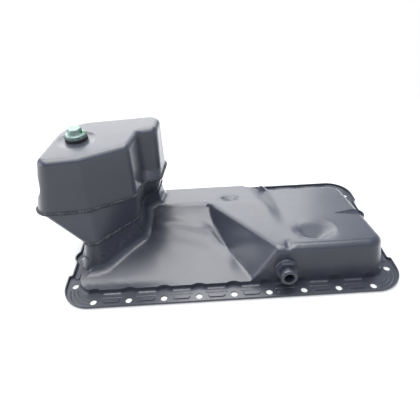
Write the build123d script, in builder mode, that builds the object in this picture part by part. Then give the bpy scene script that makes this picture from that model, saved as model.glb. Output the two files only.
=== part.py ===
"""Engine oil pan for a four-wheel-drive truck: a shallow pressed tray with a bolted flange,
a deep welded-on sump at one end, a drain plug in the sump and an oil return port in the wall.

Frame: millimetres, +Z up. The pan lies with its gasket face on the XY plane and the sump on
top, X runs along the flange with the sump at -X, and the origin is the flange's centre.
"""

from build123d import *
from math import atan, cos, degrees, radians, sin, tan
import os

os.makedirs("parts", exist_ok=True)

# ---------------------------------------------------------------- driving dimensions (mm)
sheet = 1.6                     # thickness of every pressed sheet

# Flange and its bolt holes
bolt_pitch = 44.0               # between neighbouring holes on the long sides
long_side_bolts = 9             # holes along each long side
bolt_line_y = 112.5             # hole row from the centre line
bolt_line_x = 204.5             # end hole row from the centre
end_bolt_outer_y = 84.4         # outer pair on each end
end_bolt_inner_y = 31.0         # inner pair on each end
bolt_hole_r = 4.2               # clearance for M8
flange_half_width = 122.0
flange_half_length = 212.0
flange_corner_r = 32.0
corner_tab_reach = 4.5          # how far the corners stand out beyond the ends
corner_tab_length = 17.0        # straight run of a corner tab past its hole
end_tab_r = 12.0                # round tab about each inner end hole
rim_height = 4.6                # turned-up edge
rim_bend_r = 2.2
bead_width = 7.0                # stiffening beads between the bolt holes
bead_height = 1.2
bead_end_gap = 11.0             # from a hole's centre to the end of a bead
bead_slope = 35.0

# Tray walls, as rounded rectangles at the flange and at the reference height
tray_half_width = 99.5
tray_half_length = 197.0
tray_corner_r = 20.0
draft_height = 80.0
side_draft = 6.5                # how far each side leans in over draft_height
right_draft = 15.0
left_draft = 5.0
scallop_r = 16.0                # bolt head clearance cut into the foot of the wall
scallop_height = 9.0

# Tray floor: heights are measured up from the gasket face
plateau_near_z = 61.0           # right-hand plateau at the near wall
plateau_slope = 0.237           # its fall towards the far wall
saddle_near_z = 58.5            # saddle left of the plateau: lower at the near wall, higher at the far
saddle_slope = 0.172
saddle_right_x = 65.0           # right-hand edge of the saddle
plateau_left_x = 75.0           # left-hand edge of the plateau
ramp_near_z = 8.0               # foot of the long ramp at the near wall
ramp_angle = 5.0
ramp_bend_y = -5.0              # where the ramp starts to sweep up
ridge_y = 40.0                  # ridge between the ramp and the saddle
crease_left = (-12.5, 22.5)     # upper edge of the diagonal wall, in plan
crease_right = (55.0, -90.0)
diagonal_wall_angle = 58.0      # from the horizontal
floor_edge_r = 9.0              # outside radius of the plateau's edge
ridge_r = 10.0
foot_r = 3.0                    # tray wall to flange
valley_r = 8.0                  # hollow where the diagonal wall meets the ramp
collar_foot_r = 10.0            # hollow round the foot of the collar

# Pressed details of the tray floor
pocket_x = 118.0                # round clearance pocket in the plateau
pocket_y = -45.0
pocket_r = 26.0
pocket_floor_y = -59.0
pocket_floor_r = 11.5
pocket_floor_z = 46.5
notch_y = -8.0                  # tapered clearance groove at the right end
notch_start_x = 152.0
notch_end_r = 15.0
notch_depth = 8.0
dimple_x = -3.0                 # oval dimple in the saddle
dimple_y = 50.0
dimple_length = 36.0
dimple_width = 19.0
dimple_depth = 4.0

# Collar, neck and sump: plan corners, counted from the near left one, with the radius of each.
# All four outlines have the same seven corners, so that each stamping is drawn between two.
collar_base = [(-199.5, -74), (-165, -70), (-115, -21), (-113, 40), (-91, 46), (-88, 100.2), (-199, 100.2)]
lower_seam = [(-185, -72), (-167, -63), (-122, -16), (-118, 35), (-99, 47), (-93, 95.5), (-194, 95.5)]
upper_seam = [(-237, -60), (-171, -55), (-117, -28), (-110, 3), (-88, 11), (-81, 66), (-235, 62)]
sump_bottom = [(-217, -58), (-168, -51), (-116, -26), (-108, 14), (-86, 19), (-83, 62), (-206, 48)]
collar_base_r = [14, 20, 14, 11, 8, 20, 25]
lower_seam_r = [10, 18, 12, 11, 8, 20, 25]
upper_seam_r = [19, 16, 8, 6, 9, 16, 45]
sump_bottom_r = [12, 14, 10, 6, 9.5, 14, 45]
ledge = [(-233.6, -59.7), (-170.5, -54.3), (-116.8, -27.7), (-109.7, 12.5), (-87.7, 17.6), (-81.3, 65.3), (-230, 59.6)]
ledge_r = [18, 16, 10, 6, 9.5, 16, 45]
lower_seam_z = 56.0             # weld between the collar and the neck
upper_seam_z = 100.0            # weld between the neck and the sump bowl
sump_z = 170.0                  # outside of the sump's bottom plate
sump_edge_r = 7.5
sump_dent_z = 141.0             # long scoop pressed into the sump's left wall
sump_dent_r = 30.0
sump_dent_depth = 5.0
ledge_z = 112.0                 # foot of the sump's stepped side flares out below this
weld_r = 2.2

# Drain: a plug with a captive washer in a boss welded inside the sump
drain_x = -183.0
drain_y = 3.0
drain_thread_r = 8.0            # M16 x 1.5, drawn plain
drain_clearance = 0.05          # of the plug in its boss, on the radius
drain_dish_x = -181.0           # dish in the bottom plate, drawn further out on the near side
drain_dish_y = -4.0
drain_dish_r = 24.0
drain_seat_r = 15.5             # flat seat at the bottom of the dish
drain_seat_depth = 2.0
drain_boss_r = 12.5
drain_boss_length = 14.0
drain_weld_leg = 2.4
drain_washer_r = 13.8
drain_washer_height = 3.6
drain_flange_r = 12.4
drain_flange_height = 4.4
drain_hex_across = 15.0
drain_hex_height = 6.6
drain_hex_turn = 12.0           # how the plug happens to stand
drain_shank_length = 17.0

# Oil return port in the near wall
port_x = 66.0
port_z = 27.0
port_bore_r = 6.25
port_tube_r = 8.0
port_seat_r = 14.0
port_seat_height = 3.0
port_nut_across = 24.0
port_nut_height = 6.0
port_length = 20.0              # from the wall to the open end
port_ring_r = 10.5
port_ring_length = 5.0
port_tail = 5.0                 # stands inside the wall

collar_levels = [(collar_base, collar_base_r, 0.0), (lower_seam, lower_seam_r, lower_seam_z)]
neck_levels = [(lower_seam, lower_seam_r, lower_seam_z), (upper_seam, upper_seam_r, upper_seam_z)]
bowl_levels = [(upper_seam, upper_seam_r, upper_seam_z), (ledge, ledge_r, ledge_z), (sump_bottom, sump_bottom_r, sump_z)]
long_side_x = [(index - (long_side_bolts - 1) / 2) * bolt_pitch for index in range(long_side_bolts)]
long_side_holes = [(x, side * bolt_line_y) for side in (-1, 1) for x in long_side_x]
end_y = (-end_bolt_outer_y, -end_bolt_inner_y, end_bolt_inner_y, end_bolt_outer_y)
end_holes = [(side * bolt_line_x, y) for side in (-1, 1) for y in end_y]
bolt_holes = long_side_holes + end_holes


def outline(corners, corner_radii, inset):
    """Face of a plan outline with rounded corners, drawn in by the inset."""
    with BuildSketch(mode=Mode.PRIVATE) as plan:
        with BuildLine():
            FilletPolyline(*corners, radius=corner_radii, close=True)
        make_face()
        if inset:
            offset(amount=-inset, kind=Kind.INTERSECTION)
    return plan.sketch


def slope_plane(near_y, near_z, fall, inset):
    """Plane along X that passes the near point and falls towards the far wall."""
    top = Plane(origin=(0, near_y, near_z), x_dir=(1, 0, 0), z_dir=(0, fall, 1))
    return top.offset(-inset)


def wall_block(inset):
    """Everything inside the tray's four leaning walls, up to the reference height."""
    half_x = tray_half_length - inset
    half_y = tray_half_width - inset
    lean_x = (right_draft + left_draft) / 2
    with BuildPart(mode=Mode.PRIVATE) as block:
        with BuildSketch(Plane.XY):
            RectangleRounded(2 * half_x, 2 * half_y, tray_corner_r - inset)
        with BuildSketch(Plane.XY.offset(draft_height)):
            with Locations(((left_draft - right_draft) / 2, 0)):
                RectangleRounded(2 * (half_x - lean_x), 2 * (half_y - side_draft), tray_corner_r - inset)
        loft(ruled=True)
    return block.part


def drawn_body(levels, inset):
    """Body drawn through plan outlines, each given as its corners, radii and height."""
    with BuildPart(mode=Mode.PRIVATE) as body:
        for corners, corner_radii, height in levels:
            with BuildSketch(Plane.XY.offset(height)):
                add(outline(corners, corner_radii, inset))
        loft(ruled=True)
    return body.part


def saddle_point(x, y):
    """Point on the saddle's outer face above a place in plan."""
    return Vector(x, y, saddle_near_z - saddle_slope * (y + tray_half_width))


def diagonal_plane(inset):
    """Plane of the wall that drops from the saddle's diagonal crease to the ramp."""
    left = saddle_point(*crease_left)
    right = saddle_point(*crease_right)
    crease = (right - left).normalized()
    level = Vector(0, 0, 1).cross(crease).normalized()
    outward = Vector(0, 0, 1) * cos(radians(diagonal_wall_angle)) - level * sin(radians(diagonal_wall_angle))
    outward = outward - crease * outward.dot(crease)
    return Plane(origin=left, x_dir=crease, z_dir=outward).offset(-inset)


def step_plane(edge_x, near_z, fall, side, inset):
    """45 degree plane down from a floor's straight edge, to the right (side 1) or left (-1)."""
    edge = Vector(0, 1, -fall)
    origin = Vector(edge_x, -tray_half_width, near_z)
    return Plane(origin=origin, x_dir=edge, z_dir=edge.cross(Vector(-1, 0, side))).offset(-inset)


def top_face(body, plane):
    """The face of a body that lies in a plane."""
    return body.faces().filter_by(lambda face: abs(plane.to_local_coords(face.center()).Z) < 0.01).sort_by(SortBy.AREA)[-1]


def saddle_form(inset):
    """Filled block under the saddle, from the diagonal wall to the step at the plateau."""
    saddle = slope_plane(-tray_half_width, saddle_near_z, saddle_slope, inset)
    with BuildPart(mode=Mode.PRIVATE) as block:
        add(wall_block(inset))
        split(bisect_by=saddle, keep=Keep.BOTTOM)
        split(bisect_by=step_plane(saddle_right_x, saddle_near_z, saddle_slope, 1, inset), keep=Keep.BOTTOM)
        split(bisect_by=diagonal_plane(inset), keep=Keep.BOTTOM)
        near_corner = block.edges().filter_by_position(Axis.X, 20, 60).filter_by(
            lambda edge: abs((edge @ 0).Z - (edge @ 1).Z) > saddle_near_z / 2 and (edge @ 0.5).Y < 0)
        fillet(top_face(block, saddle).edges() + near_corner, floor_edge_r - inset)
    return block.part


def plateau_form(inset):
    """Filled block under the plateau, with its pocket and its notch."""
    plateau = slope_plane(-tray_half_width, plateau_near_z, plateau_slope, inset)
    with BuildPart(mode=Mode.PRIVATE) as block:
        add(wall_block(inset))
        split(bisect_by=plateau, keep=Keep.BOTTOM)
        split(bisect_by=step_plane(plateau_left_x, plateau_near_z, plateau_slope, -1, inset), keep=Keep.BOTTOM)
        fillet(top_face(block, plateau).edges(), floor_edge_r - inset)
    return block.part


def ramp_form(inset):
    """Filled block under the ramp and the saddle behind it, from its side view."""
    far_y = tray_half_width + 20
    ramp_fall = tan(radians(ramp_angle))
    bend_z = ramp_near_z + (ramp_bend_y + tray_half_width) * ramp_fall
    ridge_z = saddle_point(0, ridge_y).Z
    with BuildPart(mode=Mode.PRIVATE) as block:
        add(wall_block(inset))
        with BuildSketch(Plane.YZ.offset(-tray_half_length)):
            with BuildLine():
                foot = Line((-far_y, bend_z - (ramp_bend_y + far_y) * ramp_fall), (ramp_bend_y, bend_z))
                sweep_up = TangentArc((ramp_bend_y, bend_z), (ridge_y, ridge_z), tangent=foot % 1)
                far_z = saddle_point(0, far_y).Z
                Polyline(sweep_up @ 1, (far_y, far_z), (far_y, -far_y), (-far_y, -far_y), foot @ 0)
            make_face()
            if inset:
                offset(amount=-inset, kind=Kind.INTERSECTION)
        extrude(amount=tray_half_length + crease_right[0] - 2 * floor_edge_r, mode=Mode.INTERSECT)
        ridge = block.edges().filter_by(Axis.X).filter_by_position(Axis.Y, ridge_y - 1, ridge_y + 1)
        fillet(ridge, ridge_r - inset)
    return block.part


def floor_form(inset):
    """The tray's filled shape below its floor, without the collar."""
    with BuildPart(mode=Mode.PRIVATE) as form:
        add(ramp_form(inset))
        add(saddle_form(inset))
        add(plateau_form(inset))
    return form.part


def foot_form(inset):
    """Flange plate with the curved foot of the tray's wall, up to the near end of the ramp."""
    level = sheet - inset
    with BuildPart(mode=Mode.PRIVATE) as form:
        add(split(wall_block(inset), bisect_by=Plane.XY.offset(ramp_near_z - inset), keep=Keep.BOTTOM))
        with BuildSketch(Plane.XY.offset(level)):
            RectangleRounded(2 * tray_half_length + 6 * foot_r, 2 * tray_half_width + 6 * foot_r, tray_corner_r)
        extrude(amount=-sheet)
        foot = form.edges().filter_by(lambda edge: abs((edge @ 0).Z - level) < 0.01 and abs((edge @ 0.5).Z - level) < 0.01)
        inner_foot = foot.filter_by(
            lambda edge: abs((edge @ 0.5).X) < tray_half_length + 1 and abs((edge @ 0.5).Y) < tray_half_width + 1)
        fillet(inner_foot, foot_r + inset)
    return form.part


def bolt_clearance(inset):
    """Round clearances for the bolt heads, from the flange up to the shelf in the wall."""
    with BuildPart(mode=Mode.PRIVATE) as cuts:
        with BuildSketch(Plane.XY.offset(sheet - inset)):
            with Locations(*long_side_holes):
                Circle(scallop_r + inset)
        extrude(amount=scallop_height)
    return cuts.part


def pocket_form(inset):
    """Round pocket of the plateau: a dish with a level floor and a steep near side."""
    plateau = slope_plane(-tray_half_width, plateau_near_z, plateau_slope, inset)
    centre_z = plateau_near_z - plateau_slope * (pocket_y + tray_half_width)
    rim = Plane(origin=(pocket_x, pocket_y, centre_z - inset), x_dir=(1, 0, 0), z_dir=plateau.z_dir).offset(0.5)
    with BuildPart(mode=Mode.PRIVATE) as cut:
        with BuildSketch(Plane((pocket_x, pocket_floor_y, pocket_floor_z - inset))):
            Circle(pocket_floor_r + inset)
        with BuildSketch(rim):
            Circle(pocket_r + inset)
        loft(ruled=True)
    return cut.part


def notch_form(inset):
    """Tapered groove that runs out through the right-hand end of the plateau."""
    plateau = slope_plane(-tray_half_width, plateau_near_z, plateau_slope, 0)
    end_circle_r = (notch_end_r ** 2 + notch_depth ** 2) / (2 * notch_depth)
    start_z = plateau_near_z - plateau_slope * (notch_y + tray_half_width)
    start = Vector(notch_start_x, notch_y, start_z)
    length = tray_half_length - notch_start_x
    end = start + Vector(length, 0, 0) + plateau.z_dir * (end_circle_r - notch_depth)
    with BuildPart(mode=Mode.PRIVATE) as cut:
        with BuildSketch(Plane(origin=start, x_dir=(0, 1, 0), z_dir=(1, 0, 0))):
            Circle(0.3 + inset)
        with BuildSketch(Plane(origin=end, x_dir=(0, 1, 0), z_dir=(1, 0, 0))):
            Circle(end_circle_r + inset)
        loft(ruled=True)
    return cut.part


def dimple_form(inset):
    """Oval dimple of the saddle."""
    rim = Plane(origin=saddle_point(dimple_x, dimple_y) - Vector(0, 0, inset), x_dir=(1, 0, 0), z_dir=(0, saddle_slope, 1))
    side = 2 * (dimple_depth + 0.5)
    with BuildPart(mode=Mode.PRIVATE) as cut:
        with BuildSketch(rim.offset(0.5)):
            SlotOverall(dimple_length + inset, dimple_width + inset)
        with BuildSketch(rim.offset(-dimple_depth)):
            SlotOverall(dimple_length + inset - side, dimple_width + inset - side)
        loft(ruled=True)
    return cut.part


def collar_foot_edges(floor, collar, union):
    """Edges along which the collar meets the saddle and the ramp."""
    foot = new_edges(floor, collar, combined=union)
    return foot.filter_by(
        lambda edge: min((edge @ 0).Z, (edge @ 1).Z) > sheet + foot_r and abs((edge @ 0.5).X) < tray_half_length - 7
        and (edge @ 0.5).Y < tray_half_width - 9)


def valley_edges(shape):
    """Lower edges of the diagonal wall, where it meets the ramp."""
    valley_z = saddle_point(*crease_left).Z - floor_edge_r
    return shape.edges().filter_by(
        lambda edge: edge.length > 15 and crease_left[0] - 18 < (edge @ 0.5).X < crease_left[0] + 48
        and 12 - tray_half_width < (edge @ 0.5).Y < crease_left[1] + 22
        and sheet + foot_r < (edge @ 0.5).Z < valley_z and min((edge @ 0).Z, (edge @ 1).Z) < valley_z)


def tray_form(inset):
    """The whole filled shape of the pressed housing, from the flange to the lower seam."""
    with BuildPart(mode=Mode.PRIVATE) as form:
        floor = floor_form(inset)
        collar = drawn_body(collar_levels, inset)
        add(floor)
        add(collar)
        if not inset:
            fillet(collar_foot_edges(floor, collar, form.part), collar_foot_r)
        fillet(valley_edges(form.part), valley_r + inset)
        add(foot_form(inset))
        add(bolt_clearance(inset), mode=Mode.SUBTRACT)
        add(pocket_form(inset), mode=Mode.SUBTRACT)
        add(notch_form(inset), mode=Mode.SUBTRACT)
        add(dimple_form(inset), mode=Mode.SUBTRACT)
    return form.part


def bowl_form(inset):
    """Filled shape of the sump bowl, with the scoop in its left wall and its drain seat."""
    lean = (sump_z - sump_dent_z) / (sump_z - ledge_z)
    near_x = sump_bottom[0][0] + (ledge[0][0] - sump_bottom[0][0]) * lean
    far_x = sump_bottom[-1][0] + (ledge[-1][0] - sump_bottom[-1][0]) * lean
    near_end = Vector(near_x + sump_dent_depth - sump_dent_r, sump_bottom[0][1], sump_dent_z)
    far_end = Vector(far_x + sump_dent_depth - sump_dent_r, sump_bottom[-1][1], sump_dent_z)
    along = (far_end - near_end).normalized()
    with BuildPart(mode=Mode.PRIVATE) as form:
        add(drawn_body(bowl_levels, inset))
        split(bisect_by=Plane.XY.offset(sump_z - inset), keep=Keep.BOTTOM)
        fillet(form.faces().sort_by(Axis.Z)[-1].edges(), sump_edge_r - inset)
        with BuildSketch(Plane(origin=near_end - along * 60, x_dir=(0, 0, 1), z_dir=along)):
            Circle(sump_dent_r + inset)
        extrude(amount=(far_end - near_end).length + 120, mode=Mode.SUBTRACT)
        with BuildSketch(Plane((drain_dish_x, drain_dish_y, sump_z - inset))):
            Circle(drain_dish_r)
        with BuildSketch(Plane((drain_x, drain_y, sump_z - inset - drain_seat_depth))):
            Circle(drain_seat_r)
        loft(ruled=True, mode=Mode.SUBTRACT)
    return form.part


def seam_weld(corners, corner_radii, height, lower_levels, upper_levels):
    """Weld bead round a seam: a rod along the outline, less the two sheets' filled shapes."""
    seam = outline(corners, corner_radii, 0).face().outer_wire().moved(Location((0, 0, height)))
    with BuildPart() as bead:
        with BuildSketch(Plane(origin=seam @ 0, z_dir=seam % 0)):
            Circle(weld_r)
        sweep(path=seam, transition=Transition.ROUND)
        add(drawn_body(lower_levels, 0), mode=Mode.SUBTRACT)
        add(drawn_body(upper_levels, 0), mode=Mode.SUBTRACT)
    return bead.part


def flange_outline(inset):
    """Outline of the flange with its corner tabs and the round tabs of its end holes."""
    notch_y_half = end_bolt_outer_y - corner_tab_length
    outer_x = flange_half_length + corner_tab_reach
    with BuildSketch(mode=Mode.PRIVATE) as plan:
        RectangleRounded(2 * outer_x, 2 * flange_half_width, flange_corner_r + corner_tab_reach)
        with Locations((-outer_x, 0), (outer_x, 0)):
            Rectangle(2 * corner_tab_reach, 2 * notch_y_half, mode=Mode.SUBTRACT)
        steps = plan.vertices().filter_by(lambda vertex: abs(abs(vertex.Y) - notch_y_half) < 0.01)
        fillet(steps, corner_tab_reach * 0.48)
        with Locations(*[(side * bolt_line_x, y) for side in (-1, 1) for y in (-end_bolt_inner_y, end_bolt_inner_y)]):
            Circle(end_tab_r)
        joins = plan.vertices().filter_by(
            lambda vertex: abs(abs(vertex.X) - flange_half_length) < 0.01 and abs(vertex.Y) < end_bolt_inner_y + end_tab_r)
        fillet(joins, end_tab_r / 2)
        if inset:
            offset(amount=-inset, kind=Kind.INTERSECTION)
    return plan.sketch


# ---------------------------------------------------------------- 1. pressed housing (upper pan)
tray_outer = tray_form(0)
tray_inner = tray_form(sheet)

wall_lean = atan(side_draft / draft_height)
port_axis = Vector(0, -cos(wall_lean), sin(wall_lean))
port_origin = Vector(port_x, -tray_half_width + port_z * side_draft / draft_height, port_z)
port_plane = Plane(origin=port_origin, x_dir=(1, 0, 0), z_dir=port_axis)

with BuildPart() as upper_pan:
    with BuildSketch():
        add(flange_outline(0))
    extrude(amount=rim_height)
    with BuildSketch(Plane.XY.offset(sheet)):
        add(flange_outline(sheet))
    extrude(amount=rim_height, mode=Mode.SUBTRACT)
    outer_bend = upper_pan.faces().sort_by(Axis.Z)[0].outer_wire().edges()
    fillet(outer_bend, rim_bend_r)
    add(tray_outer)
    bead_x = [(a + b) / 2 for a, b in zip(long_side_x, long_side_x[1:])]
    bead_length = bolt_pitch - 2 * bead_end_gap
    end_bead_length = end_bolt_outer_y - end_bolt_inner_y - 2 * bead_end_gap
    end_bead_y = (end_bolt_outer_y + end_bolt_inner_y) / 2
    long_beads = [(x, side * bolt_line_y) for side in (-1, 1) for x in bead_x]
    end_beads = [(side * bolt_line_x, end * end_bead_y) for side in (-1, 1) for end in (-1, 1)]
    middle_beads = [(side * bolt_line_x, 0) for side in (-1, 1)]
    for level, change in ((sheet, Mode.ADD), (0, Mode.SUBTRACT)):
        with BuildSketch(Plane.XY.offset(level)):
            with Locations(*long_beads):
                SlotOverall(bead_length, bead_width)
            with Locations(*end_beads):
                SlotOverall(end_bead_length, bead_width, rotation=90)
            with Locations(*middle_beads):
                SlotOverall(2 * (end_bolt_inner_y - bead_end_gap), bead_width, rotation=90)
        extrude(amount=bead_height, taper=bead_slope, mode=change)
    add(tray_inner, mode=Mode.SUBTRACT)
    with Locations(*[(x, y, 0) for x, y in bolt_holes]):
        Cylinder(bolt_hole_r, 4 * sheet, mode=Mode.SUBTRACT)
    with BuildSketch(port_plane.offset(-3 * sheet)):
        Circle(port_tube_r)
    extrude(amount=6 * sheet, mode=Mode.SUBTRACT)

upper_pan.part.label = "upper_pan"
export_step(upper_pan.part, "parts/upper_pan.step")

# ---------------------------------------------------------------- 2. neck, drawn between the two seams
with BuildPart() as neck:
    add(drawn_body(neck_levels, 0))
    add(drawn_body(neck_levels, sheet), mode=Mode.SUBTRACT)

neck.part.label = "neck"
export_step(neck.part, "parts/neck.step")

# ---------------------------------------------------------------- 3. sump bowl
with BuildPart() as sump_bowl:
    add(bowl_form(0))
    add(bowl_form(sheet), mode=Mode.SUBTRACT)
    with Locations((drain_x, drain_y, sump_z)):
        Cylinder(drain_thread_r + 4 * drain_clearance, 6 * sheet, mode=Mode.SUBTRACT)

sump_bowl.part.label = "sump_bowl"
export_step(sump_bowl.part, "parts/sump_bowl.step")

# ---------------------------------------------------------------- 4. welds round the two seams
with BuildPart() as lower_weld:
    add(seam_weld(lower_seam, lower_seam_r, lower_seam_z, collar_levels, neck_levels))

lower_weld.part.label = "lower_weld"
export_step(lower_weld.part, "parts/lower_weld.step")

with BuildPart() as upper_weld:
    add(seam_weld(upper_seam, upper_seam_r, upper_seam_z, neck_levels, bowl_levels))

upper_weld.part.label = "upper_weld"
export_step(upper_weld.part, "parts/upper_weld.step")

# ---------------------------------------------------------------- 5. drain boss and its weld
boss_face_z = sump_z - sheet - drain_seat_depth

with BuildPart() as drain_boss:
    with Locations((drain_x, drain_y, boss_face_z)):
        Cylinder(drain_boss_r, drain_boss_length, align=(Align.CENTER, Align.CENTER, Align.MAX))
        Cylinder(drain_thread_r, 4 * drain_boss_length, mode=Mode.SUBTRACT)
    boss_end = drain_boss.edges().filter_by(GeomType.CIRCLE).group_by(Axis.Z)[0]
    chamfer(boss_end, 0.8)

drain_boss.part.label = "drain_boss"
export_step(drain_boss.part, "parts/drain_boss.step")

with BuildPart() as drain_boss_weld:
    with BuildSketch(Plane(origin=(drain_x, drain_y, boss_face_z), x_dir=(1, 0, 0), z_dir=(0, -1, 0))):
        with BuildLine():
            Polyline((drain_boss_r, 0), (drain_boss_r + drain_weld_leg, 0), (drain_boss_r, -drain_weld_leg), close=True)
        make_face()
    revolve(axis=Axis((drain_x, drain_y, 0), (0, 0, 1)))

drain_boss_weld.part.label = "drain_boss_weld"
export_step(drain_boss_weld.part, "parts/drain_boss_weld.step")

# ---------------------------------------------------------------- 6. drain plug and its captive washer
seat_z = sump_z - drain_seat_depth
plug_r = drain_thread_r - drain_clearance

with BuildPart() as drain_washer:
    with Locations((drain_x, drain_y, seat_z)):
        Cylinder(drain_washer_r, drain_washer_height, align=(Align.CENTER, Align.CENTER, Align.MIN))
        Cylinder(drain_thread_r, 4 * drain_washer_height, mode=Mode.SUBTRACT)
    fillet(drain_washer.edges().filter_by(GeomType.CIRCLE), 0.4)

drain_washer.part.label = "drain_washer"
export_step(drain_washer.part, "parts/drain_washer.step")

with BuildPart() as drain_plug:
    with Locations((drain_x, drain_y, seat_z + drain_washer_height)):
        Cylinder(drain_flange_r, drain_flange_height, align=(Align.CENTER, Align.CENTER, Align.MIN))
        Cylinder(plug_r, drain_shank_length + drain_washer_height, align=(Align.CENTER, Align.CENTER, Align.MAX))
    plug_rims = drain_plug.edges().filter_by(GeomType.CIRCLE)
    chamfer(plug_rims.group_by(Axis.Z)[0], 1.2)
    chamfer(plug_rims.group_by(Axis.Z)[-1], 1.0)
    hex_base_z = seat_z + drain_washer_height + drain_flange_height
    with BuildSketch(Plane((drain_x, drain_y, hex_base_z))):
        RegularPolygon(drain_hex_across / 2, 6, major_radius=False, rotation=drain_hex_turn)
    extrude(amount=drain_hex_height)
    chamfer(drain_plug.faces().sort_by(Axis.Z)[-1].edges(), 0.7)

drain_plug.part.label = "drain_plug"
export_step(drain_plug.part, "parts/drain_plug.step")

# ---------------------------------------------------------------- 7. oil return port
with BuildPart() as port_seat:
    with BuildSketch(port_plane):
        Circle(port_seat_r)
        Circle(port_tube_r, mode=Mode.SUBTRACT)
    extrude(amount=port_seat_height)
    chamfer(port_seat.edges().filter_by(GeomType.CIRCLE).sort_by(SortBy.LENGTH)[-2:].sort_by(Axis.Y)[0], 1.0)

port_seat.part.label = "port_seat"
export_step(port_seat.part, "parts/port_seat.step")

with BuildPart() as port_nut:
    with BuildSketch(port_plane.offset(port_seat_height)):
        RegularPolygon(port_nut_across / 2, 6, major_radius=False)
        Circle(port_tube_r, mode=Mode.SUBTRACT)
    extrude(amount=port_nut_height)

port_nut.part.label = "port_nut"
export_step(port_nut.part, "parts/port_nut.step")

with BuildPart() as port_fitting:
    with BuildSketch(port_plane.offset(-port_tail)):
        Circle(port_tube_r)
    extrude(amount=port_tail + port_length)
    with BuildSketch(port_plane.offset(port_length - port_ring_length)):
        Circle(port_ring_r)
    extrude(amount=port_ring_length)
    ring_rims = port_fitting.edges().filter_by(GeomType.CIRCLE).filter_by(
        lambda edge: abs(edge.radius - port_ring_r) < 0.01)
    fillet(ring_rims, 1.4)
    with BuildSketch(port_plane.offset(-2 * port_tail)):
        Circle(port_bore_r)
    extrude(amount=4 * port_length, mode=Mode.SUBTRACT)

port_fitting.part.label = "port_fitting"
export_step(port_fitting.part, "parts/port_fitting.step")
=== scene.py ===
"""Looks of a pressed-steel engine oil pan: black electrocoat, rippled weld seams, zinc drain plug."""

import math

import bmesh
import bpy
import numpy as np
from mathutils import Matrix, Vector


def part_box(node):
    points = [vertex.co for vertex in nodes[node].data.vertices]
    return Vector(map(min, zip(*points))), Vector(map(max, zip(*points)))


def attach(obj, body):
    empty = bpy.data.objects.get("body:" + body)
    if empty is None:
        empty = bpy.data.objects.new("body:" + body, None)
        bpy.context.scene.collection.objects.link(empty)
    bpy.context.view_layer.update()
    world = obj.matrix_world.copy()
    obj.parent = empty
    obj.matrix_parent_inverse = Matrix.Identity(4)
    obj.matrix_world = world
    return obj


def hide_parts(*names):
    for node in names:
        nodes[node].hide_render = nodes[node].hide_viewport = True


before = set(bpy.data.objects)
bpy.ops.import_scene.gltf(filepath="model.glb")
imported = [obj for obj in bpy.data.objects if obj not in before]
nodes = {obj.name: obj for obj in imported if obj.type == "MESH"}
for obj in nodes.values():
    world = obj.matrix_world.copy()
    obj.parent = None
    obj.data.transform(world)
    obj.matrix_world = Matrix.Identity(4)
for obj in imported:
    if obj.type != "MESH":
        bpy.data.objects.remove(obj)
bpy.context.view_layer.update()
scene = bpy.context.scene

MM = 0.001


# ---------------------------------------------------------------- shader maths
class Wire:
    """A number's socket that can be used in an expression. Each operator adds one Math node."""

    def __init__(self, finish, socket):
        self.finish = finish
        self.socket = socket

    def maths(self, operation, *values):
        return self.finish.node("ShaderNodeMath", {"operation": operation}, dict(enumerate(values)))

    def __add__(self, other):
        return self.maths("ADD", self, other)

    def __radd__(self, other):
        return self.maths("ADD", other, self)

    def __sub__(self, other):
        return self.maths("SUBTRACT", self, other)

    def __rsub__(self, other):
        return self.maths("SUBTRACT", other, self)

    def __mul__(self, other):
        return self.maths("MULTIPLY", self, other)

    def __rmul__(self, other):
        return self.maths("MULTIPLY", other, self)

    def above(self, edge, width):
        """0 below the edge, 1 above it, over a soft width."""
        settings = {"interpolation_type": "SMOOTHSTEP"}
        inputs = {"Value": self, "From Min": edge - width / 2, "From Max": edge + width / 2}
        return self.finish.node("ShaderNodeMapRange", settings, inputs)


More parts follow.
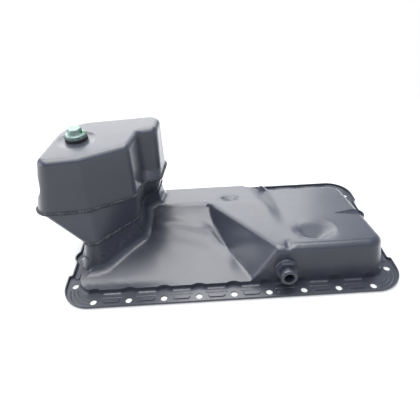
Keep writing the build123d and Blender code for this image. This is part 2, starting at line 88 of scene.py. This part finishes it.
class Finish:
    """One material under construction, with the nodes that the finishes here need."""

    def __init__(self, name):
        self.material = bpy.data.materials.new(name)
        self.material.use_nodes = True
        self.tree = self.material.node_tree
        self.shader = next(n for n in self.tree.nodes if n.type == "BSDF_PRINCIPLED")
        self.place = None

    def node(self, kind, settings=None, inputs=None, output=0):
        """Adds a node: its settings first, then its sockets' values or links."""
        made = self.tree.nodes.new(kind)
        for key, value in (settings or {}).items():
            setattr(made, key, value)
        for key, value in (inputs or {}).items():
            self.feed(made.inputs[key], value)
        return Wire(self, made.outputs[output])

    def feed(self, socket, value):
        """Links a wire to a socket, or sets the socket to a plain value."""
        if isinstance(value, Wire):
            self.tree.links.new(value.socket, socket)
        else:
            socket.default_value = value

    def where(self, stretch=(1, 1, 1)):
        """The object's own coordinates, stretched to taste."""
        if self.place is None:
            self.place = self.node("ShaderNodeTexCoord", output="Object")
        if stretch == (1, 1, 1):
            return self.place
        return self.node("ShaderNodeMapping", inputs={"Vector": self.place, "Scale": stretch})

    def noise(self, scale, detail, roughness, stretch=(1, 1, 1), distortion=0.0):
        """Cloudy pattern. Its scale is in waves to the metre."""
        inputs = {"Vector": self.where(stretch), "Scale": scale, "Detail": detail,
                  "Roughness": roughness, "Distortion": distortion}
        return self.node("ShaderNodeTexNoise", inputs=inputs)

    def blend(self, amount, first, second):
        """Colour mix of two colours or links. The Mix node's colour sockets go by number."""
        factor, colour_a, colour_b, colour_out = 0, 6, 7, 2
        inputs = {factor: amount, colour_a: first, colour_b: second}
        return self.node("ShaderNodeMix", {"data_type": "RGBA"}, inputs, colour_out)

    def bump(self, height, strength, distance, under=None):
        inputs = {"Height": height, "Strength": strength, "Distance": distance}
        if under is not None:
            inputs["Normal"] = under
        return self.node("ShaderNodeBump", inputs=inputs)

    def set(self, **sockets):
        """Sets the shader's sockets, named with underscores for spaces."""
        for key, value in sockets.items():
            self.feed(self.shader.inputs[key.replace("_", " ")], value)
        return self.material


def shade(red, green, blue):
    return (red, green, blue, 1.0)


# ---------------------------------------------------------------- finishes
def electrocoat():
    """Semi-gloss black dip coat with fine orange peel, a faint cloudy film and specks of dust."""
    f = Finish("electrocoat")
    cloud = f.noise(14, 3, 0.55)
    film = f.noise(46, 4, 0.6, distortion=0.6)
    tone = f.blend(cloud.above(0.5, 0.5), shade(0.029, 0.032, 0.046), shade(0.038, 0.042, 0.060))
    dust = f.noise(900, 2, 0.5).above(0.69, 0.05)
    tone = f.blend(dust * 0.20, tone, shade(0.16, 0.165, 0.18))
    orange_peel = f.bump(f.noise(620, 3, 0.55), 0.10, 0.0002)
    ripple = f.noise(70, 2, 0.5)
    return f.set(Base_Color=tone, Roughness=0.40 + (film - 0.5) * 0.14 + dust * 0.15, IOR=1.6,
                 Normal=f.bump(ripple, 0.05, 0.0012, orange_peel), Coat_Weight=0.8, Coat_Roughness=0.26)


def weld_coat():
    """The same coat over rough weld metal and spatter."""
    f = Finish("weld_coat")
    grain = f.noise(420, 4, 0.65)
    scorch = f.noise(160, 3, 0.6).above(0.55, 0.25)
    tone = f.blend(scorch, shade(0.022, 0.023, 0.032), shade(0.06, 0.06, 0.07))
    return f.set(Base_Color=tone, Roughness=0.30 + grain * 0.2, IOR=1.55,
                 Normal=f.bump(grain, 0.5, 0.0006), Coat_Weight=0.3, Coat_Roughness=0.25)


# Dab of green paint on the plug's flange, in metres
PAINT_DAB = (-0.1728, 0.0040, 0.1765)
PAINT_DAB_RADIUS = 0.0030


def zinc_plate():
    """Pale green zinc plating, satin, with fine turning marks, handling stains and the paint dab."""
    f = Finish("zinc_plate")
    stain = f.noise(210, 4, 0.6)
    tone = f.blend(stain.above(0.52, 0.3), shade(0.24, 0.35, 0.31), shade(0.37, 0.45, 0.41))
    from_dab = f.node("ShaderNodeVectorMath", {"operation": "DISTANCE"},
                      {0: f.where(), 1: PAINT_DAB}, output="Value")
    ragged = from_dab + (stain - 0.5) * 0.002
    tone = f.blend(1 - ragged.above(PAINT_DAB_RADIUS, 0.0006), tone, shade(0.01, 0.16, 0.05))
    turned = f.noise(1500, 2, 0.5, stretch=(0.15, 0.15, 1))
    return f.set(Base_Color=tone, Metallic=0.35, Roughness=0.34 + stain * 0.2,
                 Normal=f.bump(turned, 0.16, 0.0003))


def mark_ink():
    """Dark grey serrations of the plug's flange."""
    f = Finish("plug_marks")
    wear = f.noise(800, 2, 0.5)
    tone = f.blend(wear.above(0.5, 0.4), shade(0.09, 0.11, 0.13), shade(0.17, 0.2, 0.21))
    return f.set(Base_Color=tone, Metallic=0.4, Roughness=0.45 + wear * 0.1)


def seal_rubber():
    """Black bonded seal."""
    f = Finish("seal_rubber")
    grain = f.noise(900, 3, 0.6)
    return f.set(Base_Color=shade(0.02, 0.02, 0.022), Roughness=0.5 + grain * 0.15,
                 Normal=f.bump(grain, 0.2, 0.0003))


# ---------------------------------------------------------------- copies of the CAD's nodes
WELD_DISTANCE = 2e-6


def merged(mesh):
    """A bmesh of a CAD mesh whose loose triangles are joined up."""
    work = bmesh.new()
    work.from_mesh(mesh)
    bmesh.ops.remove_doubles(work, verts=work.verts, dist=WELD_DISTANCE)
    return work


def copied(node, name):
    """A copy of a CAD node's mesh, without its stored normals."""
    mesh = nodes[node].data.copy()
    mesh.name = name
    if "custom_normal" in mesh.attributes:
        mesh.attributes.remove(mesh.attributes["custom_normal"])
    return mesh


def dressed(node, name, mesh, material, body, angle):
    """Makes a piece of a mesh that stands for a CAD node: smooth shading, material and body."""
    mesh.shade_smooth()
    mesh.set_sharp_from_angle(angle=math.radians(angle))
    mesh.materials.clear()
    mesh.materials.append(material)
    piece = bpy.data.objects.new(name, mesh)
    scene.collection.objects.link(piece)
    weighted = piece.modifiers.new("even_normals", "WEIGHTED_NORMAL")
    weighted.keep_sharp = True
    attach(piece, body)
    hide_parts(node)


def finished_copy(node, name, material, body="pan"):
    """A merged, smooth-shaded copy of a CAD node that stands for it."""
    mesh = copied(node, name)
    work = merged(mesh)
    work.to_mesh(mesh)
    work.free()
    dressed(node, name, mesh, material, body, 32)


# ---------------------------------------------------------------- the pressed housing, in millimetres
BOLT_PITCH = 44.0
BOLT_ROW = 112.5
LAST_BOLT = 4

# The sheet's thickness, measured straight down through its slopes
SHEET = 1.64
SHELF = 9.0

# Where the copy is cut on a grid, from what height up, and the grid's pitch
GRID_LOW = (-200, -104)
GRID_HIGH = (200, 96)
GRID_PITCH = 4.0
CUT_FROM_Z = 7.0

# Ridge of the tray's diagonal wall, in plan, and the way that wall faces
RIDGE_END = np.array((-12.5, 22.5))
RIDGE_ALONG = np.array((0.5145, -0.8575))
RIDGE_DOWN = np.array((-0.8575, -0.5145))
WALL_NORMAL = np.array((-0.74, -0.44, 0.51))
FOLD_REACH = 8.5

# The soft slope between saddle and plateau
STEP_START = 55
STEP_END = 82

DIMPLE_AT = (9, 51)
DIMPLE_REACH = (17, 9.0)
DIMPLE_DEPTH = 3.6
DIMPLE_LIP = 0.9

POCKET_RIM = np.array((111.0, -48.0))
POCKET_FLOOR = np.array((107.5, -58.5))
POCKET_RIM_R = 29.0
POCKET_FLOOR_R = 9.0
POCKET_FLOOR_Z = 46.0
POCKET_LIP = 0.4

# Drawing creases in the ramp: height, place across the sweep, and half width
CREASES = ((0.42, -4, 6.0), (-0.40, 8, 4.5), (0.26, 17, 4.0), (-0.34, -22, 7.5))
LAST_CREASE = (0.22, -50, 3.6)
CREASE_GAIN = 1.4


def smooth(value, low, high):
    """0 below low, 1 above high, and soft between. It falls instead where low is the larger."""
    share = np.clip((value - low) / (high - low), 0, 1)
    return share * share * (3 - 2 * share)


def window(value, low, high, fade):
    """1 between low and high, fading out on both sides."""
    return smooth(value, low - fade, low) * (1 - smooth(value, high, high + fade))


def between(value, low, high):
    return (value > low) & (value < high)


def cut_grid(mesh):
    """Merges a mesh and cuts it on a square grid in plan, above the flange, so that its flat areas
    have points to press."""
    work = merged(mesh)
    faces = [face for face in work.faces if face.calc_center_median().z > CUT_FROM_Z * MM]
    edges = {edge for face in faces for edge in face.edges}
    verts = {vert for face in faces for vert in face.verts}
    geometry = sorted(verts, key=lambda v: v.index) + sorted(edges, key=lambda e: e.index) + faces
    for axis, (low, high) in enumerate(zip(GRID_LOW, GRID_HIGH)):
        for step in range(int((high - low) / GRID_PITCH) + 1):
            point = Vector((0, 0, 0))
            normal = Vector((0, 0, 0))
            point[axis] = (low + step * GRID_PITCH) * MM
            normal[axis] = 1
            cut = bmesh.ops.bisect_plane(work, geom=geometry, plane_co=point, plane_no=normal, dist=1e-6)
            geometry = cut["geom"]
    work.to_mesh(mesh)
    work.free()


def edge_ends(mesh):
    """The two ends of every edge, as two rows of point numbers."""
    ends = np.empty(len(mesh.edges) * 2, dtype=np.int32)
    mesh.edges.foreach_get("vertices", ends)
    return ends.reshape(-1, 2).T


def outer_side(mesh):
    """True for points on the sheet's outer face. Points that look plainly up are outer and plainly
    down are inner; those of the steep walls go with their neighbours."""
    plainly, rounds = 0.12, 60
    normals = np.empty(len(mesh.vertices) * 3)
    mesh.vertices.foreach_get("normal", normals)
    up = normals.reshape(-1, 3)[:, 2]
    first, second = edge_ends(mesh)
    side = np.sign(up) * (np.abs(up) > plainly)
    for _ in range(rounds):
        vote = np.bincount(first, side[second], len(side)) + np.bincount(second, side[first], len(side))
        side = np.where(side == 0, np.sign(vote), side)
    return side > 0


def flat_level(points, chosen):
    """Height, at every point, of the plane through the chosen flat points."""
    base = np.column_stack((points[:, 0], points[:, 1], np.ones(len(points))))
    plane = np.linalg.lstsq(base[chosen], points[chosen, 2], rcond=None)[0]
    return base @ plane


def pocket_share(plan):
    """How far a point lies down the pocket's leaning cone: 0 at the rim and 1 at its floor."""
    from_rim = plan - POCKET_RIM
    shift = POCKET_FLOOR - POCKET_RIM
    narrowing = POCKET_RIM_R - POCKET_FLOOR_R
    square = shift @ shift - narrowing ** 2
    linear = 2 * (POCKET_RIM_R * narrowing - from_rim @ shift)
    rest = (from_rim ** 2).sum(1) - POCKET_RIM_R ** 2
    return (-linear + np.sqrt(np.maximum(linear ** 2 - 4 * square * rest, 0))) / (2 * square)


def ridge_place(points):
    """How far each point lies along the diagonal wall's ridge and down from it, in plan."""
    plan = points[:, :2] - RIDGE_END
    return plan @ RIDGE_ALONG, plan @ RIDGE_DOWN


# In each function below x, y and z are the columns of points themselves, so a change to one is kept.
def close_scallops(points):
    """Takes the wall of each bolt clearance up behind the wall above it, so that no slit is left."""
    x, y, z = points.T
    bolt = BOLT_PITCH * np.clip(np.round(x / BOLT_PITCH), -LAST_BOLT, LAST_BOLT)
    from_bolt = np.hypot(x - bolt, np.abs(y) - BOLT_ROW)
    z += 3.0 * (np.abs(z - SHELF) < 0.05) * between(from_bolt, 15.5, 18.2)


def press_step(points, saddle, plateau, skin, top):
    """Makes the step between saddle and plateau one soft slope, longer towards the far side."""
    x, y, z = points.T
    start = STEP_START - 20 * smooth(y, 10, 90)
    share = smooth(x, start, STEP_END)
    level = saddle + (plateau - saddle) * share
    z += (level - skin - z) * (window(x, start, STEP_END, 2) * window(y, -82, 88, 4) * top)
    # beyond the flat floor, the rounded edge and the far wall sink along with the slope
    far_edge = (y > 88) * (x > start) * (x < 62) * (z > 3)
    z *= 1 - far_edge * share * (1 - plateau / saddle) * 0.9


def press_dimple(points, saddle, skin, top):
    """Oval dimple in the saddle, with a raised lip behind it."""
    x, y, z = points.T
    flat = window(x, -26, 32, 2) * window(y, 37, 66, 2) * top
    across = np.hypot((x - DIMPLE_AT[0]) / DIMPLE_REACH[0], (y - DIMPLE_AT[1]) / DIMPLE_REACH[1])
    lip = DIMPLE_LIP * window(across, 1.02, 1.12, 0.25) * smooth(y, 44, 58)
    z += (saddle - skin - z) * flat
    z += (lip - DIMPLE_DEPTH * (1 - smooth(across, 0.15, 1.0))) * flat


def press_pocket(points, plateau, skin, top):
    """Round pocket in the plateau, with a low lip behind it."""
    x, y, z = points.T
    share = pocket_share(points[:, :2])
    lip = POCKET_LIP * window(-share, 0.0, 0.06, 0.14) * smooth(y, -60, -30)
    depth = (plateau - POCKET_FLOOR_Z) * smooth(share, -0.08, 0.9) - lip
    round_pocket = window(x, 66, 150, 2) * window(y, -83, -8, 2) * top
    z += (plateau - depth - skin - z) * round_pocket * (x > 83)


def belly_ramp(points, top):
    """Fills the ramp out from its crease to its foot, and says how much of it each point is."""
    x, y, z = points.T
    ramp = window(x, -205, -2, 12) * window(y, -84, 22, 12) * (z < 32) * top
    ramp *= 1 - smooth(ridge_place(points)[1], 28, 18)
    rise = 4.2 + 3.0 * smooth(-x, 45, 105)
    z += rise * np.sin(np.pi * np.clip((y + 92) / 118, 0, 1)) * ramp
    return ramp


def crease_ramp(points, ramp):
    """Drawing creases in the ramp, swept round the collar's pocket."""
    x, y, z = points.T
    creased = window(x, -92, -26, 16) * window(y, -70, 20, 10) * ramp
    sweep = y + 0.34 * (x + 60) + 0.0022 * (x + 60) ** 2
    creases = sum(height * np.exp(-((sweep - place) / width) ** 2) for height, place, width in CREASES)
    height, place, width = LAST_CREASE
    creases += height * np.exp(-((sweep - place) / width) ** 2) * smooth(x, -60, -35)
    z += creases * creased * CREASE_GAIN


def fold_wall(points, top):
    """Folds the diagonal wall: its lower half faces forwards, its upper half further to the left."""
    along, down = ridge_place(points)
    fold = along - (92 - 1.4 * down)
    height = 1 - np.hypot(fold / np.where(fold < 0, 60, 38), 0.06)
    across_wall = smooth(down, 2, 14) * (1 - smooth(down, 19, 38)) * window(along, 20, 112, 14) * top
    points += WALL_NORMAL * (FOLD_REACH * np.clip(height, 0, 1) * across_wall)[:, None]


def waver(points, top):
    """Takes the last flatness off the tray's floor."""
    x, y, z = points.T
    even = window(x, -88, 188, 8) * window(y, -84, 84, 8) * top
    z += 0.25 * np.sin(x / 23 + y / 41) * np.sin(y / 19 - x / 57) * even


def press_housing(points, outer):
    """Moves the housing's points to the softer forms that the press leaves. Both faces move alike."""
    close_scallops(points)
    x, y, z = points.T
    skin = np.where(outer, 0, SHEET)
    top = z > SHELF
    saddle = flat_level(points, outer & top & between(x, -70, 45) & between(y, 68, 84))
    plateau = flat_level(points, outer & top & between(x, 95, 140) & between(y, 10, 80))
    press_step(points, saddle, plateau, skin, top)
    press_dimple(points, saddle, skin, top)
    press_pocket(points, plateau, skin, top)
    crease_ramp(points, belly_ramp(points, top))
    fold_wall(points, top)
    waver(points, top)


def soft_places(points):
    """Where the pressed forms are relaxed, and by how much: the fold, the pocket and the end notch."""
    x, y, z = points.T
    along, down = ridge_place(points)
    folded = window(along, -10, 118, 8) * window(down, -6, 40, 8) * (z > SHELF) * window(y, -86, 60, 5)
    pocket = (1 - smooth(np.hypot(x - 112, y + 50), 32, 40)) * (y > -88) * (z > 30)
    notch = window(x, 58, 84, 5) * window(y, -101, -80, 4) * (z > 30)
    return np.clip(0.9 * folded + 0.6 * pocket + 0.9 * notch, 0, 1)


def soften(mesh, points, weight, passes):
    """Relaxes points towards their neighbours where the weight says so."""
    first, second = edge_ends(mesh)
    count = np.bincount(np.concatenate((first, second)), minlength=len(points)).clip(1)
    for _ in range(passes):
        total = np.empty_like(points)
        for axis in range(3):
            total[:, axis] = (np.bincount(first, points[second, axis], len(points))
                              + np.bincount(second, points[first, axis], len(points)))
        points += (total / count[:, None] - points) * (0.5 * weight)[:, None]


def pressed_housing():
    """The housing's copy, with the soft forms of deep-drawn sheet pressed into it."""
    mesh = copied("upper_pan", "pressed_housing")
    cut_grid(mesh)
    points = np.empty(len(mesh.vertices) * 3)
    mesh.vertices.foreach_get("co", points)
    points = points.reshape(-1, 3) / MM
    press_housing(points, outer_side(mesh))
    soften(mesh, points, soft_places(points), 12)
    mesh.vertices.foreach_set("co", (points * MM).ravel())
    mesh.update()
    dressed("upper_pan", "pressed_housing", mesh, coat, "pan", 34)


# ---------------------------------------------------------------- Geometry Nodes
class Recipe:
    """A Geometry Nodes tree under construction: named inputs in, one material's geometry out."""

    def __init__(self, name, material, **sizes):
        self.tree = bpy.data.node_groups.new(name, "GeometryNodeTree")
        face = self.tree.interface
        face.new_socket("Path", in_out="INPUT", socket_type="NodeSocketGeometry")
        self.values = {}
        for key, value in sizes.items():
            kind = "NodeSocketInt" if isinstance(value, int) else "NodeSocketFloat"
            socket = face.new_socket(key, in_out="INPUT", socket_type=kind)
            socket.default_value = value
            self.values[socket.identifier] = value
        face.new_socket("Geometry", in_out="OUTPUT", socket_type="NodeSocketGeometry")
        self.entry = self.tree.nodes.new("NodeGroupInput")
        self.material = material

    def given(self, key):
        """One of the tree's own named inputs."""
        return self.entry.outputs[key]

    def node(self, kind, settings=None, inputs=None):
        """Adds a node: its settings first, then its sockets' values or links."""
        made = self.tree.nodes.new(kind)
        for key, value in (settings or {}).items():
            setattr(made, key, value)
        for key, value in (inputs or {}).items():
            if isinstance(value, bpy.types.NodeSocket):
                self.tree.links.new(value, made.inputs[key])
            else:
                made.inputs[key].default_value = value
        return made

    def steps(self, mode, socket, key):
        """The path, divided by length or by count."""
        return self.node("GeometryNodeResampleCurve", {"mode": mode},
                         {"Curve": self.given("Path"), socket: self.given(key)})

    def along_path(self):
        """The turn that points an instance's X axis along the path."""
        tangent = self.node("GeometryNodeInputTangent")
        return self.node("FunctionNodeAlignRotationToVector", {"axis": "X"}, {"Vector": tangent.outputs[0]})

    def random(self, low, high):
        """A random vector for each instance, from the tree's seed."""
        return self.node("FunctionNodeRandomValue", {"data_type": "FLOAT_VECTOR"},
                         {"Min": low, "Max": high, "Seed": self.given("Seed")})

    def finish(self, geometry):
        real = self.node("GeometryNodeRealizeInstances", inputs={"Geometry": geometry})
        painted = self.node("GeometryNodeSetMaterial",
                            inputs={"Geometry": real.outputs[0], "Material": self.material})
        out = self.tree.nodes.new("NodeGroupOutput")
        self.tree.links.new(painted.outputs[0], out.inputs[0])

    def run(self, paths, closed, name):
        """Runs the tree on a curve of the given point lists and returns a plain mesh object."""
        curve = bpy.data.curves.new(name, "CURVE")
        curve.dimensions = "3D"
        for points in paths:
            spline = curve.splines.new("POLY")
            spline.points.add(len(points) - 1)
            spline.points.foreach_set("co", [value for point in points for value in (*point, 1.0)])
            spline.use_cyclic_u = closed
        source = bpy.data.objects.new(name + "_path", curve)
        scene.collection.objects.link(source)
        modifier = source.modifiers.new("recipe", "NODES")
        modifier.node_group = self.tree
        for identifier, value in self.values.items():
            modifier[identifier] = value
        shape = source.evaluated_get(bpy.context.evaluated_depsgraph_get())
        mesh = bpy.data.meshes.new_from_object(shape)
        mesh.name = name
        bpy.data.objects.remove(source)
        bpy.data.curves.remove(curve)
        piece = bpy.data.objects.new(name, mesh)
        scene.collection.objects.link(piece)
        return piece


def weld_ripples(material):
    """Overlapping ripples of weld metal along a seam, uneven in size and place."""
    r = Recipe("weld_ripples", material, Bead=0.0023, Pitch=0.0017, Seed=7)
    steps = r.steps("LENGTH", "Length", "Pitch")
    drop = r.node("GeometryNodeMeshIcoSphere", inputs={"Radius": r.given("Bead"), "Subdivisions": 2})
    turned = r.along_path()
    sizes = r.random((0.55, 0.80, 0.80), (0.85, 1.12, 1.15))
    drops = r.node("GeometryNodeInstanceOnPoints",
                   inputs={"Points": steps.outputs[0], "Instance": drop.outputs[0],
                           "Rotation": turned.outputs[0], "Scale": sizes.outputs[0]})
    stray = r.random((-0.00025, -0.00025, -0.0005), (0.00025, 0.00025, 0.0005))
    moved = r.node("GeometryNodeTranslateInstances",
                   inputs={"Instances": drops.outputs[0], "Translation": stray.outputs[0]})
    r.finish(moved.outputs[0])
    return r


def pressed_ribs(material):
    """Thin ribs pressed up out of the flange, with ends that run out."""
    r = Recipe("pressed_ribs", material, Radius=0.0011, Pitch=0.001)
    steps = r.steps("LENGTH", "Length", "Pitch")
    share = r.node("GeometryNodeSplineParameter")
    fade = r.node("ShaderNodeFloatCurve", inputs={"Value": share.outputs["Factor"]})
    shape = fade.mapping.curves[0]
    thin_end, full_from = 0.15, 0.12
    shape.points[0].location = (0, thin_end)
    shape.points[1].location = (1, thin_end)
    shape.points.new(full_from, 1.0)
    shape.points.new(1 - full_from, 1.0)
    fade.mapping.update()
    ring = r.node("GeometryNodeCurvePrimitiveCircle",
                  inputs={"Radius": r.given("Radius"), "Resolution": 12})
    tube = r.node("GeometryNodeCurveToMesh",
                  inputs={"Curve": steps.outputs[0], "Profile Curve": ring.outputs[0],
                          "Scale": fade.outputs[0], "Fill Caps": True})
    soft = r.node("GeometryNodeSetShadeSmooth", inputs={"Geometry": tube.outputs[0]})
    r.finish(soft.outputs[0])
    return r


def flat_marks(material):
    """Small flattened marks, evenly spaced round a closed path."""
    r = Recipe("ring_of_marks", material, Count=12, Size=0.0012)
    steps = r.steps("COUNT", "Count", "Count")
    mark = r.node("GeometryNodeMeshIcoSphere", inputs={"Radius": r.given("Size"), "Subdivisions": 3})
    turned = r.along_path()
    marks = r.node("GeometryNodeInstanceOnPoints",
                   inputs={"Points": steps.outputs[0], "Instance": mark.outputs[0],
                           "Rotation": turned.outputs[0], "Scale": (1.0, 0.35, 0.8)})
    soft = r.node("GeometryNodeSetShadeSmooth", inputs={"Geometry": marks.outputs[0]})
    r.finish(soft.outputs[0])
    return r


def rounded_outline(corners, height):
    """Closed outline in plan through (x, y, corner radius), with its corners as arcs, in metres."""
    points = []
    count = len(corners)
    for index, (*corner, radius) in enumerate(corners):
        here = np.array(corner, float)
        back = np.array(corners[index - 1][:2], float) - here
        ahead = np.array(corners[(index + 1) % count][:2], float) - here
        back /= np.linalg.norm(back)
        ahead /= np.linalg.norm(ahead)
        half = math.acos(np.clip(back @ ahead, -1, 1)) / 2
        start = here + back * radius / math.tan(half)
        middle = (back + ahead) / np.linalg.norm(back + ahead)
        centre = here + middle * radius / math.sin(half)
        end = here + ahead * radius / math.tan(half)
        first = math.atan2(*(start - centre)[::-1])
        sweep = (math.atan2(*(end - centre)[::-1]) - first + math.pi) % (2 * math.pi) - math.pi
        for angle in first + sweep * np.linspace(0, 1, 9):
            points.append((centre[0] + radius * math.cos(angle),
                           centre[1] + radius * math.sin(angle), height))
    return [tuple(value * MM for value in point) for point in points]


# The weld seams' corners in plan, each with its radius, and the seams' heights, in millimetres
LOWER_SEAM = ((-185, -72, 10), (-167, -63, 18), (-122, -16, 12), (-118, 35, 11), (-99, 47, 8),
              (-93, 95.5, 20), (-194, 95.5, 25))
LOWER_SEAM_Z = 56.0
UPPER_SEAM = ((-237, -60, 19), (-171, -55, 16), (-117, -28, 8), (-110, 3, 6), (-88, 11, 9),
              (-81, 66, 16), (-235, 62, 45))
UPPER_SEAM_Z = 100.0


def weld_seam(node, name, corners, height):
    """The ripples of one seam, which stand for its plain bead."""
    piece = seam_ripples.run([rounded_outline(corners, height)], True, name)
    piece.data.shade_smooth()
    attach(piece, "pan")
    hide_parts(node)


# The flange's ribs: two rows a side between the bolts, two rows an end, and the corners' arcs
RIB_Z = 1.2
RIB_HALF = 14.5
SIDE_RIB_ROWS = (107.3, 118.2)
END_RIB_ROWS = (200.4, 208.6)
END_RIB_SPANS = ((-73, -42), (-19.5, 19.5), (42, 73))
CORNER_CENTRE = (181.0, 91.0)
CORNER_ARCS = (18.5, 23.0, 27.5)


def flange_ribs():
    """Pairs of ribs between neighbouring bolt holes, and three arcs round each corner."""
    paths = []
    for side in (-1, 1):
        for gap in range(2 * LAST_BOLT):
            middle = (gap - 3.5) * BOLT_PITCH
            for row in SIDE_RIB_ROWS:
                paths.append([(middle + half, side * row, RIB_Z) for half in (-RIB_HALF, RIB_HALF)])
        for span in END_RIB_SPANS:
            for row in END_RIB_ROWS:
                paths.append([(side * row, y, RIB_Z) for y in span])
        for end in (-1, 1):
            for radius in CORNER_ARCS:
                paths.append([(side * CORNER_CENTRE[0] + side * radius * math.cos(turn),
                               end * CORNER_CENTRE[1] + end * radius * math.sin(turn), RIB_Z)
                              for turn in np.linspace(math.radians(-2), math.radians(92), 20)])
    paths = [[tuple(value * MM for value in point) for point in path] for path in paths]
    piece = pressed_ribs(coat).run(paths, False, "flange_ribs")
    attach(piece, "pan")


# The plug's rim, in millimetres
RIM_RADIUS = 12.15
RIM_Z = 173.8


def plug_rim_marks():
    """Serrations round the rim of the plug's flange."""
    low, high = (np.array(corner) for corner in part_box("drain_plug"))
    centre_x, centre_y = (low[:2] + high[:2]) / 2
    rim = [(centre_x + RIM_RADIUS * MM * math.cos(turn),
            centre_y + RIM_RADIUS * MM * math.sin(turn), RIM_Z * MM)
           for turn in np.linspace(0, 2 * math.pi, 73)[:-1]]
    marks = flat_marks(mark_ink()).run([rim], True, "plug_rim_marks")
    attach(marks, "plug")


coat = electrocoat()
rough_coat = weld_coat()
seam_ripples = weld_ripples(rough_coat)

pressed_housing()
for node in ("neck", "sump_bowl", "drain_boss", "port_fitting", "port_nut", "port_seat"):
    finished_copy(node, node + "_steel", coat)
finished_copy("drain_boss_weld", "drain_boss_weld_bead", rough_coat)
weld_seam("lower_weld", "lower_weld_ripples", LOWER_SEAM, LOWER_SEAM_Z)
weld_seam("upper_weld", "upper_weld_ripples", UPPER_SEAM, UPPER_SEAM_Z)
flange_ribs()
finished_copy("drain_plug", "drain_plug_zinc", zinc_plate(), body="plug")
finished_copy("drain_washer", "drain_washer_seal", seal_rubber(), body="washer")
plug_rim_marks()


# ---------------------------------------------------------------- camera, light and stage
CAMERA_AT = Vector((-32.8, -429.8, 370.7)) * MM
CAMERA_FORWARD = Vector((0.0173, 0.8019, -0.5973)).normalized()
CAMERA_RIGHT = Vector((0.9983, -0.0471, -0.0343))
FRAME_WIDTH = 420
FOCAL_WIDTH = 380
SENSOR = 36.0
LIT_MIDDLE = Vector((-0.05, 0, 0.05))


def place_camera():
    """The camera. Its focal length is in the frame's own pixels, 420 of them to the width."""
    right = (CAMERA_RIGHT - CAMERA_FORWARD * CAMERA_RIGHT.dot(CAMERA_FORWARD)).normalized()
    turn = Matrix((right, right.cross(CAMERA_FORWARD), -CAMERA_FORWARD)).transposed()
    lens = bpy.data.cameras.new("camera")
    lens.sensor_width = SENSOR
    lens.lens = FOCAL_WIDTH / FRAME_WIDTH * SENSOR
    lens.clip_start = 0.01
    camera = bpy.data.objects.new("camera", lens)
    camera.matrix_world = Matrix.Translation(CAMERA_AT) @ turn.to_4x4()
    scene.collection.objects.link(camera)
    scene.camera = camera


def softbox(name, at, width, height, watts, colour):
    """A rectangular lamp that looks at the middle of the object."""
    lamp = bpy.data.lights.new(name, "AREA")
    lamp.shape = "RECTANGLE"
    lamp.size = width
    lamp.size_y = height
    lamp.energy = watts
    lamp.color = colour
    box = bpy.data.objects.new(name, lamp)
    turn = (LIT_MIDDLE - Vector(at)).to_track_quat("-Z", "Y").to_matrix().to_4x4()
    box.matrix_world = Matrix.Translation(at) @ turn
    scene.collection.objects.link(box)


def studio():
    """The room: a dim cool light round the object, and plain white where the camera looks past it."""
    world = bpy.data.worlds.new("studio")
    scene.world = world
    world.use_nodes = True
    sky = world.node_tree
    sky.nodes.clear()
    seen = sky.nodes.new("ShaderNodeMixShader")
    path = sky.nodes.new("ShaderNodeLightPath")
    sky.links.new(path.outputs["Is Camera Ray"], seen.inputs[0])
    for index, (colour, strength) in enumerate((((0.74, 0.82, 1.0, 1), 0.5), ((1, 1, 1, 1), 1.0)), 1):
        light = sky.nodes.new("ShaderNodeBackground")
        light.inputs["Color"].default_value = colour
        light.inputs["Strength"].default_value = strength
        sky.links.new(light.outputs[0], seen.inputs[index])
    out = sky.nodes.new("ShaderNodeOutputWorld")
    sky.links.new(seen.outputs[0], out.inputs[0])


def table_top():
    """White table: it takes the object's shadow near by, and further off it is a plain white backdrop.
    Gloss sees that backdrop too, and in front of the object a dimmer table close by."""
    near_glow, front_glow, front_dimming = 0.3, 0.75, 0.74
    f = Finish("table_top")
    f.set(Base_Color=shade(0.92, 0.92, 0.93), Roughness=0.9)
    away = f.node("ShaderNodeVectorMath", {"operation": "LENGTH"}, {0: f.where()}, output="Value")
    depth = f.node("ShaderNodeSeparateXYZ", inputs={0: f.where()}, output="Y")
    seen = f.node("ShaderNodeLightPath", output="Is Camera Ray")
    mirrored = f.node("ShaderNodeLightPath", output="Is Glossy Ray")
    far = away.above(0.55, 0.5)
    near_front = (1 - depth.above(-0.08, 0.08)) * (1 - far)
    factor = (near_glow + (1 - near_glow) * far) * seen + (far + front_glow * near_front) * mirrored
    brightness = seen + (1 - front_dimming * near_front) * mirrored
    glow = f.tree.nodes.new("ShaderNodeEmission")
    mix = f.tree.nodes.new("ShaderNodeMixShader")
    out = next(n for n in f.tree.nodes if n.type == "OUTPUT_MATERIAL")
    f.feed(glow.inputs["Color"], brightness)
    f.feed(mix.inputs[0], factor)
    f.tree.links.new(f.shader.outputs[0], mix.inputs[1])
    f.tree.links.new(glow.outputs[0], mix.inputs[2])
    f.tree.links.new(mix.outputs[0], out.inputs["Surface"])
    return f.material


def table():
    """The flat floor under the object, a hair below its gasket face."""
    reach = 6.0
    corners = [(-reach, -reach, 0), (reach, -reach, 0), (reach, reach, 0), (-reach, reach, 0)]
    mesh = bpy.data.meshes.new("floor")
    mesh.from_pydata(corners, [], [(0, 1, 2, 3)])
    mesh.materials.append(table_top())
    floor = bpy.data.objects.new("floor", mesh)
    floor.location = (0, 0, -0.0005)
    scene.collection.objects.link(floor)


place_camera()
softbox("back_light", (-0.35, 1.65, 0.745), 2.2, 1.05, 16, (1.0, 0.995, 0.965))
softbox("left_light", (-1.6, -0.3, 0.42), 1.4, 0.9, 7.0, (0.97, 0.985, 1.0))
softbox("front_light", (-0.1, -0.75, 1.35), 1.3, 0.8, 6.5, (0.96, 0.975, 1.0))
softbox("top_light", (-0.25, 0.30, 1.45), 1.6, 1.5, 33, (1.0, 0.995, 0.97))
studio()
table()
scene.view_settings.view_transform = "Standard"
